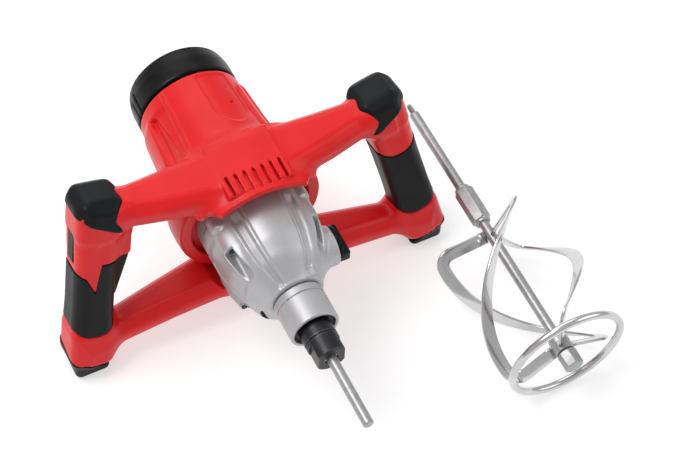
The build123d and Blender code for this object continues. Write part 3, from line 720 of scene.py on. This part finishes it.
def pad_field(p):
    """Faceted pad over the front corner of a handle."""
    u, v, t = grip_axes(p)
    region = (t + 0.42 * u + 1) * 0.92
    swell = np.clip((t + 26) * 0.13, 0, 5)
    body = section(u + 1, v, 22 + swell, 24 + swell, 10.0, 12.0)
    crown = meet(-26 - t, (-t * 0.82 + np.abs(u + 2) * 0.57) - 29, 2)
    crown = meet(crown, (-t * 0.82 + np.abs(v) * 0.57) - 29.5, 2)
    return meet(meet(body, crown, 3), region, 2.5)


def trigger_bay(p):
    """Room for the trigger in the left grip."""
    u, v, t = grip_axes(p)
    bay = np.maximum(np.maximum(np.abs(v) - 10.2, between(u, GRIP_INNER, -6)), between(t, 41, 94))
    return left_only(p, bay)


def red_frame(p):
    """The frame without the room of sleeves, trigger, lock button, insert and slots."""
    around = np.hypot(p[0], p[2])
    u, v, t = grip_axes(p)
    core = np.maximum(grip_core(p) + 2.8, between(t, *UNDER_SLEEVE))
    red = carve(frame_field(p), np.maximum(sleeve_region(p) - GAP, -core), 0.8)
    red = carve(red, trigger_bay(p), 0.8)
    for number in SLOTS:
        x, y = number * SLOT_PITCH, 155 + abs(number) * 0.5
        slot = corner(np.abs(p[0] - x) - 0.2, np.abs(p[1] - y) - 9.5) - 1.1
        red = carve(red, np.maximum(slot, SLOT_FLOOR - around), 0.8)
    inset = np.maximum(section(u - 19, t - 30, 2.5, 17, 2.0), np.abs(v) - 7)
    red = carve(red, left_only(p, inset), 0.5)
    lock = corner(np.abs(t - 31) - 5.4, np.abs(v) - 3.4)
    return carve(red, left_only(p, np.maximum(lock, u + 22)), 0.4)


# %% [markdown]
# The red frame is cut into the pieces it is moulded in. Each yoke is two shells that meet in a level
# parting plane, each grip an inner and an outer shell that meet along its middle, under the sleeve.


# %% Handle pieces
FRONT_SPLIT, REAR_SPLIT = 60.0, -78.0
FLOOR_CLEARANCE = 1.4
SEAM = 0.06


def front_part(p):
    """Negative from the front corners down to the hidden seam in the grips."""
    return grip_axes(p)[2] - UNDER_SLEEVE[0]


def rear_part(p):
    """Negative in the rear corners and between the two grips."""
    u, _, t = grip_axes(p)
    return np.maximum(np.minimum(UNDER_SLEEVE[1] - t, u - GRIP_INNER), p[2] + 20)


def grip_half(p, flip):
    """Negative in the outer half of a grip, or in the inner half when flipped."""
    u, _, t = grip_axes(p)
    middle = between(t, UNDER_SLEEVE[0] + 0.1, UNDER_SLEEVE[1] - 0.1)
    return np.maximum(np.maximum(middle, GRIP_INNER - u), SEAM - u * flip)


def yoke_shell(p, part):
    """One yoke's share of the red frame, clear of the floor."""
    return np.maximum(red_frame(p), np.maximum(part(p), FLOOR + FLOOR_CLEARANCE - p[2]))


for name, part, low, high, parting in (
    ("front_yoke_cover", front_part, (-197, 134, FRONT_SPLIT - 4), (197, 224, 92), (FRONT_SPLIT, True)),
    ("front_yoke_base", front_part, (-197, 134, -32), (197, 224, FRONT_SPLIT + 4), (FRONT_SPLIT, False)),
    ("rear_yoke_cover", rear_part, (-197, 120, REAR_SPLIT - 4), (197, 205, -20), (REAR_SPLIT, True)),
    ("rear_yoke_base", rear_part, (-197, 120, FLOOR + FLOOR_CLEARANCE), (197, 205, REAR_SPLIT + 4),
     (REAR_SPLIT, False)),
):
    mould(f"{name}_shell", lambda p, part=part: yoke_shell(p, part), low, high, "red_plastic",
          "machine", (name,), parting=parting)
for side, sign in (("right", 1), ("left", -1)):
    x_range = sorted((sign * 108, sign * 200))
    for half, flip in (("outer", 1), ("inner", -1)):
        mould(f"{side}_grip_{half}_moulding",
              lambda p, flip=flip: np.maximum(red_frame(p), grip_half(p, flip)),
              (x_range[0], 130, -90), (x_range[1], 220, 55), "red_plastic", "machine",
              (f"{side}_grip_{half}_shell",))

# %% [markdown]
# The black pieces follow: sleeves that stand a little proud of the red, faceted pads that guard the
# front corners, and the feet that the machine lies on.


# %% Sleeves, pads and feet
FOOT_PLACE = (176, 155)   # middle of a sole, as in the record's rests


def sleeve_field(p):
    """Soft sleeve around the grip, with an insert in the hood on the left."""
    u, v, t = grip_axes(p)
    proud = grip_core(p) - 0.7
    sleeve = meet(proud, sleeve_region(p) + 0.3, 1.4)
    core = np.maximum(grip_core(p) + 2.5, between(t, *UNDER_SLEEVE))
    sleeve = carve(carve(sleeve, core, 0.3), trigger_bay(p) - 0.6, 1.2)
    insert = block(u - 18.6, t - 29, v, 1.9, 15.5, 6.6, 1.2)
    return np.minimum(sleeve, left_only(p, insert))


def foot_field(p):
    """Rubber corner that the machine lies on."""
    out, y, z = np.abs(p[0]), p[1], p[2]
    edge = (z + 99 - (out - REAR_CORNER[0]) * 0.6) * 0.85
    sole = block(out - FOOT_PLACE[0], y - FOOT_PLACE[1], z - FLOOR - 12, 17, 18, 12, 6)
    foot = meet(melt(frame_field(p) - 1.1, sole, 4), edge, 1.2)
    return meet(meet(np.maximum(foot, 152 - out), out - HANDLE_REACH, 1.5), FLOOR - z, 1.5)


for side, sign in (("right", 1), ("left", -1)):
    x_range = sorted((sign * 100, sign * 200))
    mould(f"{side}_grip_cover", sleeve_field, (x_range[0], 130, -90), (x_range[1], 222, 50),
          "black_rubber", "machine", (f"{side}_grip_sleeve",))
    mould(f"{side}_front_pad", pad_field, (x_range[0], 155, 15), (x_range[1], 235, 90),
          "black_rubber", "machine", (f"{side}_front_bumper",), cell=CELL * 0.8)
    mould(f"{side}_rear_foot", foot_field, (x_range[0], 115, FLOOR), (x_range[1], 200, -70),
          "black_rubber", "machine", (f"{side}_rear_bumper",))

# %% [markdown]
# The trigger is a wedge that the first two fingers pull towards the grip: deep at the top, flush with
# the sleeve at the bottom. Above it, in the hood, sits the lens-shaped lock button. Each rides on its
# own body, so it slides in its bay when the joint moves.


# %% Trigger and lock button
def trigger_field(p):
    """Wedge with a hollow for two fingers."""
    u, v, t = grip_axes(p)
    wedge = block(u + 23, v, t - 67.5, 11, 9.2, 23.5, 2.5)
    face = (-33.6 + (t - 45) * 0.25 - u) * 0.97
    scoop = 31 - np.hypot(u + 62, t - 74)
    return meet(meet(wedge, face, 3), scoop, 3)


def lock_field(p):
    """Lens that stands out of the hood."""
    u, v, t = grip_axes(p)
    lens = (np.sqrt(((u + 25) / 11) ** 2 + ((t - 31) / 9.5) ** 2 + (v / 6.5) ** 2) - 1) * 6
    return np.maximum(meet(lens, np.abs(v) - 4.6, 1.5), u + 19)


mould("trigger_blade", trigger_field, (-152, 160, -50), (-100, 215, 30), "black_plastic",
      "trigger", ("trigger",), cell=0.9)
mould("lock_lens", lock_field, (-140, 165, 5), (-105, 205, 45), "red_plastic", "lock_button",
      ("lock_button",), cell=0.6)

# %% [markdown]
# The gear case shows what is inside it: a wide lobe over the spindle gear, channels beside it, bosses
# with deep counterbores for the long screws, lugs at the joint to the motor, a bulge behind for the
# countershaft, and a round boss on the right for the gear selector.


# %% Gear case
CASE_LINE = [(70, 25.5), (78, 30), (92, 42.5), (112, 49.5), (135, 52), (162, 52)]
BULGE_LINE = [(72, 12), (89, 31), (162, 31.8)]
BOSS_LINE = [(92, 2), (122, 9), (138, 9), (162, 7.4)]
CASE_SCREWS = ((38, 26), (-38, 26), (35, -40), (-35, -40))    # (x, z), front pair first
LUGS = ((41.5, 29), (-41.5, 29))
BULGE_Z = -28             # the countershaft's axis
DIAL_Y = 108              # the selector's axis


def case_body(p, radius):
    """The casting from outside: lobe, bulge, bosses, lugs, dial and nose flange."""
    around = np.hypot(p[0], p[2])
    x, y, z = p
    case = (around - radius) * 0.9
    bulge = np.hypot(x, z - BULGE_Z) - eased(y, BULGE_LINE, 6)
    case = melt(case, bulge * 0.9, 8)
    for screw_x, screw_z in CASE_SCREWS:
        boss = np.hypot(x - screw_x, z - screw_z) - eased(y, BOSS_LINE, 5)
        case = melt(case, boss * 0.93, 5)
    for lug_x, lug_z in LUGS:
        case = melt(case, drum(p, 147, 162, 7, lug_x, lug_z, 2), 4)
    dial = corner(np.hypot(y - DIAL_Y, z) - 17, np.abs(x - 40) - 11.8) - 2
    case = melt(case, dial, 6)
    case = melt(case, drum(p, 70.4, 74.5, 27, edge=1.2), 2)
    case = melt(case, block(x - 15, y - 76, z - 21, 5, 4.5, 5, 1.5), 3)
    return meet(case, between(y, 70.5, 161.8), 2)


def case_field(p):
    """The casting with its screw pockets, hollow inside."""
    around, angle = polar(p)
    x, y, z = p
    lobe = window(angle, -21, 21, 3) * window(y, 74, 158, 14)
    channels = window(np.abs(angle), 26, 36, 4) * window(y, 74, 146, 12)
    cheeks = window(np.abs(angle), 68, 106, 4) * window(y, 92, 146, 7)
    radius = eased(y, CASE_LINE, 7) + 1.4 * lobe - 2.6 * channels - 2.0 * cheeks
    case = case_body(p, radius)
    for screw_x, screw_z in CASE_SCREWS:
        reach = (screw_x ** 2 + screw_z ** 2) ** 0.5
        outwards = (x * screw_x + z * screw_z) / reach - reach
        aside = (z * screw_x - x * screw_z) / reach
        trough = corner(np.abs(aside) - 2.2, -outwards - 1.4) - 3.4
        if screw_z > 0:                # only the front pair has open pockets
            case = carve(case, np.maximum(trough, y - 124), 2.0)
        bore = np.maximum(np.hypot(x - screw_x, z - screw_z) - 4.3, y - 132.6)
        case = carve(case, bore, 0.6)
    room = np.minimum(np.maximum((around - radius + 4.5) * 0.9, around - 39),
                      np.hypot(x, z - BULGE_Z) - 28.4)
    return np.maximum(case, -np.maximum(room, between(y, 84, 170)))


mould("gear_case", case_field, (-62, 70, -62), (54, 162, 56), "cast_alloy", "machine",
      ("gear_housing",), cell=CELL * 0.8)

# %% [markdown]
# The nose sleeve holds the seal, and the black spindle head stands in it with two flats for a spanner.
# The selector is a disc with a wing across it, which turns on the round boss of the case.


# %% Nose, spindle and selector
def nose_field(p):
    """Tube with a fine groove at its root."""
    around = np.hypot(p[0], p[2])
    tube = drum(p, 33.1, 70, 23.9, edge=1.6)
    tube = np.maximum(tube, -np.maximum(23.1 - around, between(p[1], 61, 62)))
    return carve(tube, around - 20.3, 1.2)


def spindle_field(p):
    """Head with flats, a ring groove, a socket and the stem behind it."""
    x, y, _ = p
    around = np.hypot(p[0], p[2])
    head = drum(p, 0.1, 34.9, 15.9, edge=1.8)
    flats = np.maximum(13 - np.abs(x), y - 16)
    head = carve(head, flats, 0.7)
    ring = np.maximum(15.1 - around, between(y, 20, 21.4))
    head = carve(head, ring, 0.4)
    stem = drum(p, 30, 118, 8.4, edge=0.6)
    return carve(np.minimum(head, stem), np.maximum(around - 6.6, y - 27), 1.2)


def selector_field(p):
    """Disc with a wing, and the stem that goes into the case."""
    x, y, z = p[0], p[1] - DIAL_Y, p[2]
    disc = corner(np.hypot(y, z) - 16.5, np.abs(x - 56.2) - 0.8) - 0.9
    wing = block(x - 60.4, y, z, 3.6, 17.4, 6.2, 2)
    stem = np.maximum(np.hypot(y, z) - 7, between(x, 38, 57))
    return np.minimum(melt(disc, wing, 2), stem)


mould("nose_tube", nose_field, (-24, 33, -24), (24, 70, 24), "cast_alloy", "machine",
      ("nose_sleeve",), cell=0.8)
mould("spindle_head", spindle_field, (-16, 0, -16), (16, 118, 16), "dark_steel", "spindle",
      ("spindle",), cell=0.7)
mould("selector_wing", selector_field, (38, 90, -18), (65, 126, 18), "black_plastic", "selector",
      ("selector_knob",), cell=0.7)

# %% [markdown]
# The mains lead is not part of this set, but its bushing is: a ribbed rubber sleeve on the rear yoke.


# %% Cord bushing
BUSHING_Z, RIB_START, RIB_PITCH = -83, 199, 5.4


def bushing_field(p):
    """Tapered sleeve with ribs around it and the lead's hole through it."""
    y = p[1]
    around = np.hypot(p[0], p[2] - BUSHING_Z)
    ribs = 0.9 * (1 - window(y, RIB_START, 226, 1))
    ribs = ribs + 0.9 * step(np.cos((y - RIB_START) * tau / RIB_PITCH), 0.2, 0.6)
    sleeve = around - eased(y, [(192, 7.6), (200, 7.4), (228, 5.2)], 3) - ribs * 0.5
    sleeve = meet(sleeve * 0.85, between(y, 192.2, 227.8), 0.8)
    return carve(sleeve, np.maximum(around - 3.7, 200 - y), 0.6)


mould("cord_bushing", bushing_field, (-9, 192, -92), (9, 228, -74), "black_rubber", "machine",
      ("cord_gland",), cell=0.7)

# %% [markdown]
# Turned and drawn parts need no field: a lathe outline, spun about its own axis, gives the rods and the
# hub, with every chamfer as two points of the outline. `skin` puts faces between rings of points.


# %% Turned parts
def skin(rings, closed=False):
    """Points and faces through rings, with the ends filled unless they close on themselves."""
    count, size = len(rings), len(rings[0])
    faces = []
    for row in range(count if closed else count - 1):
        after = (row + 1) % count
        for k in range(size):
            beside = (k + 1) % size
            faces.append((row * size + k, row * size + beside, after * size + beside, after * size + k))
    if not closed:
        faces.append(tuple(reversed(range(size))))
        faces.append(tuple(range((count - 1) * size, count * size)))
    return [point for ring in rings for point in ring], faces


def spun(name, outline, slot, body, replaced, x=0.0, z=0.0, segments=48):
    """Closed body of revolution from (station, radius) points along the tool direction."""
    ways = [(cos(tau * k / segments), -sin(tau * k / segments)) for k in range(segments)]
    rings = [[(x + radius * way_x, station, z + radius * way_z) for way_x, way_z in ways]
             for station, radius in outline]
    piece = new_piece(name, *skin(rings))
    piece.data.set_sharp_from_angle(angle=radians(32))
    print(name, "is", round(outline[-1][0] - outline[0][0], 1), "mm long")
    return dress(piece, slot, body, *replaced)


def thread(start, end, radius, pitch=1.0, depth=0.45):
    """Outline of thread crests and roots between two stations."""
    turns = int((end - start) / pitch)
    return [(start + (k + 0.5 * half) * pitch, radius - depth * half)
            for k in range(turns) for half in (0, 1)]


ON_STIRRER = {"x": STIRRER_X, "z": STIRRER_Z}
spun("drive_rod_bar", [(-72, 3.0), (-72, 4.2), (-71.2, 5.0), (2, 5.0), (2, 6.3), (26, 6.3)],
     "rod_steel", "spindle", ("drive_rod",))
spun("upper_rod_bar", [(121, 4.3), (121.8, 5.0), (241.2, 5.0), (242, 4.3),
                       *thread(242.2, 253, 2.9), (253.6, 2.2)],
     "rod_steel", "stirrer", ("stirrer_upper_rod",), **ON_STIRRER)
spun("lower_rod_bar", [(-72, 4.3), (-71.2, 5.0), (119.2, 5.0), (120, 4.3)],
     "rod_steel", "stirrer", ("stirrer_rod",), **ON_STIRRER)
spun("hub_sleeve", [(-58, 7.0), (-58, 8.8), (-57.2, 9.5), (-51, 9.5), (-50.6, 9.0), (-49.4, 9.0),
                    (-49, 9.5), (-42.8, 9.5), (-42, 8.8), (-42, 5.0)],
     "rod_steel", "stirrer", ("stirrer_hub",), **ON_STIRRER)

# %% [markdown]
# The coupling between the two rods and the nut under the hub are hexagons, with turned corners.


# %% Hexagons
def hexagon(p, y0, y1, across_flats, dome):
    """Hexagonal bar about the stirrer's axis, with its corners turned off at both ends."""
    x, z = p[0] - STIRRER_X, p[2] - STIRRER_Z
    sides = [np.abs(x * cos(way) + z * sin(way)) - across_flats / 2 for way in (0, pi / 3, 2 * pi / 3)]
    bar = meet(meet(sides[0], sides[1], 1.0), sides[2], 1.0)
    middle, half = (y0 + y1) / 2, (y1 - y0) / 2
    beyond = np.abs(p[1] - middle) - half
    turned_off = beyond * 0.87 + (np.hypot(x, z) - across_flats / 2 + dome) * 0.5
    return meet(meet(bar, beyond, 0.5), turned_off, 0.6)


def coupling_field(p):
    """Hexagonal sleeve with round ends and a cross pin's hole."""
    x, z = p[0] - STIRRER_X, p[2] - STIRRER_Z
    sleeve = hexagon(p, 101, 140, 17.4, 1.2)
    sleeve = melt(sleeve, drum(p, 98.1, 142.9, 7.6, STIRRER_X, STIRRER_Z, 1.2), 1.2)
    pin = np.hypot(p[1] - 111, z) - 2.2
    return carve(sleeve, np.maximum(pin, 7.6 - np.abs(x)), 0.6)


def nut_field(p):
    """Plain hexagon below the hub."""
    return hexagon(p, -75.9, -58.6, 16.8, 0.8)


for name, field, start, end, replaced in (
    ("coupling_sleeve", coupling_field, 98, 143, "rod_coupling"),
    ("end_nut", nut_field, -76, -58, "hub_nut"),
):
    mould(name, field, (STIRRER_X - 11, start, STIRRER_Z - 11), (STIRRER_X + 11, end, STIRRER_Z + 11),
          "rod_steel", "stirrer", (replaced,), cell=0.7)

# %% [markdown]
# The stirring head: a ring of round bar, and three flat strips bent edgewise from the rod, down a helix
# and back to the hub. A strip is a rounded section carried along its path, with the section's wide side
# always across the radius, which is what gives the blades their turning highlights.

# %% Ring and blades
RING_R, WIRE_R, RING_STATION = 56.2, 3.8, -60
RING_STEPS, WIRE_STEPS = 120, 20
BLADE_R, BEND = 55.5, 12.0
BLADE_TOP, BLADE_FOOT, BLADE_TURN = 84.0, -51.0, 150.0
FIRST_ANGLES = (68, 188, 308)
around_length = BLADE_R * radians(BLADE_TURN)
drop_length = BLADE_TOP - BLADE_FOOT
strip_length = (around_length ** 2 + drop_length ** 2) ** 0.5
print("one strip runs", round(strip_length, 1), "mm along its helix")


def swept(name, rings, replaced, closed=False):
    """Polished bar of the stirring head, through rings of points."""
    return dress(new_piece(name, *skin(rings, closed)), "polished_steel", "stirrer", replaced)


torus = []
for way in (tau * k / RING_STEPS for k in range(RING_STEPS)):
    ring = []
    for turn_in_wire in (tau * k / WIRE_STEPS for k in range(WIRE_STEPS)):
        radius = RING_R + WIRE_R * cos(turn_in_wire)
        ring.append((STIRRER_X + radius * cos(way), RING_STATION + WIRE_R * sin(turn_in_wire),
                     STIRRER_Z + radius * sin(way)))
    torus.append(ring)
swept("ring_bar", torus, "stirrer_ring", closed=True)


def strip_section(half_width=6.2, half_thick=1.45, rounding=1.0):
    """Rounded rectangle as (width, thickness) points."""
    points = []
    for quarter in range(4):
        centre_w = (half_width - rounding) * (1 if quarter in (0, 3) else -1)
        centre_t = (half_thick - rounding) * (1 if quarter in (0, 1) else -1)
        for k in range(4):
            angle = (quarter + k / 3) * pi / 2
            points.append((centre_w + rounding * cos(angle), centre_t + rounding * sin(angle)))
    return points


BEND_STEPS, HELIX_STEPS = 8, 40


def strip_path():
    """(radius, way along the helix, heading out, heading along) down one strip."""
    path = [(radius, 0.0, 1.0, 0.0) for radius in (5.2, 15, 25, 35, 42)]
    bends = [pi / 2 * k / BEND_STEPS for k in range(BEND_STEPS + 1)]
    for bend in bends:
        path.append((BLADE_R - BEND * (1 - sin(bend)), BEND * (1 - cos(bend)), cos(bend), sin(bend)))
    for k in range(1, HELIX_STEPS):
        path.append((BLADE_R, BEND + (strip_length - 2 * BEND) * k / HELIX_STEPS, 0.0, 1.0))
    for bend in bends:
        path.append((BLADE_R - BEND * (1 - cos(bend)), strip_length - BEND * (1 - sin(bend)),
                     -sin(bend), cos(bend)))
    return path + [(radius, strip_length, -1.0, 0.0) for radius in (42, 35, 25, 15, 9.6)]


for number, first_angle in enumerate(FIRST_ANGLES, start=1):
    rings = []
    for radius, way, heading_out, heading_along in strip_path():
        share = way / strip_length
        angle = radians(first_angle + BLADE_TURN * share)
        outwards = Vector((cos(angle), 0, sin(angle)))
        along = Vector((-sin(angle) * around_length, -drop_length, cos(angle) * around_length))
        along /= strip_length
        heading = outwards * heading_out + along * heading_along
        width = along * heading_out - outwards * heading_along
        thick = heading.cross(width)
        centre = Vector((STIRRER_X, BLADE_TOP - drop_length * share, STIRRER_Z)) + outwards * radius
        rings.append([centre + width * w + thick * t for w, t in strip_section()])
    swept(f"helix_strip_{number}", rings, f"stirrer_blade_{number}")

# %% [markdown]
# The light is large and soft: a key high on the left, a weaker fill on the right, a back light that
# draws the edges, and a white surround, so that metal and gloss always have something to mirror.

# %% Studio
LAMPS = (                 # (name, position, size, power)
    ("key", (-1.1, 0.5, 2.4), 1.5, 36.0),
    ("fill", (1.9, -0.9, 1.7), 2.0, 12.0),
    ("back", (0.3, 2.2, 1.9), 2.2, 16.0),
)
SURROUND, PAPER, PAPER_GLOW, FLOOR_HALF = 0.6, 0.55, 0.5, 4
scene = bpy.context.scene
for area, position, size, power in LAMPS:
    lamp = bpy.data.objects.new(area, bpy.data.lights.new(area, "AREA"))
    lamp.data.shape = "DISK"
    lamp.data.size = size
    lamp.data.energy = power
    lamp.location = position
    lamp.rotation_euler = (-Vector(position)).to_track_quat("-Z", "Y").to_euler()
    scene.collection.objects.link(lamp)
    print(area, "light of", power, "W")

scene.world = bpy.data.worlds.new("studio")
scene.world.use_nodes = True
surround = scene.world.node_tree.nodes["Background"]
surround.inputs["Color"].default_value = (1, 1, 1, 1)
surround.inputs["Strength"].default_value = SURROUND
scene.view_settings.view_transform = "Standard"

# %% [markdown]
# The floor is white paper that glows a little: it stays white, and still takes a soft shadow.

# %% Floor
mesh = bpy.data.meshes.new("floor")
mesh.from_pydata([(x * FLOOR_HALF, y * FLOOR_HALF, 0) for x, y in ((-1, -1), (1, -1), (1, 1), (-1, 1))],
                 [], [(0, 1, 2, 3)])
floor = bpy.data.objects.new("floor", mesh)
scene.collection.objects.link(floor)
paper = Finish("floor_paper", (PAPER, PAPER, PAPER), roughness=0.9)
paper.shader.inputs["Emission Color"].default_value = (1, 1, 1, 1)
paper.shader.inputs["Emission Strength"].default_value = PAPER_GLOW
floor.data.materials.append(paper.material)
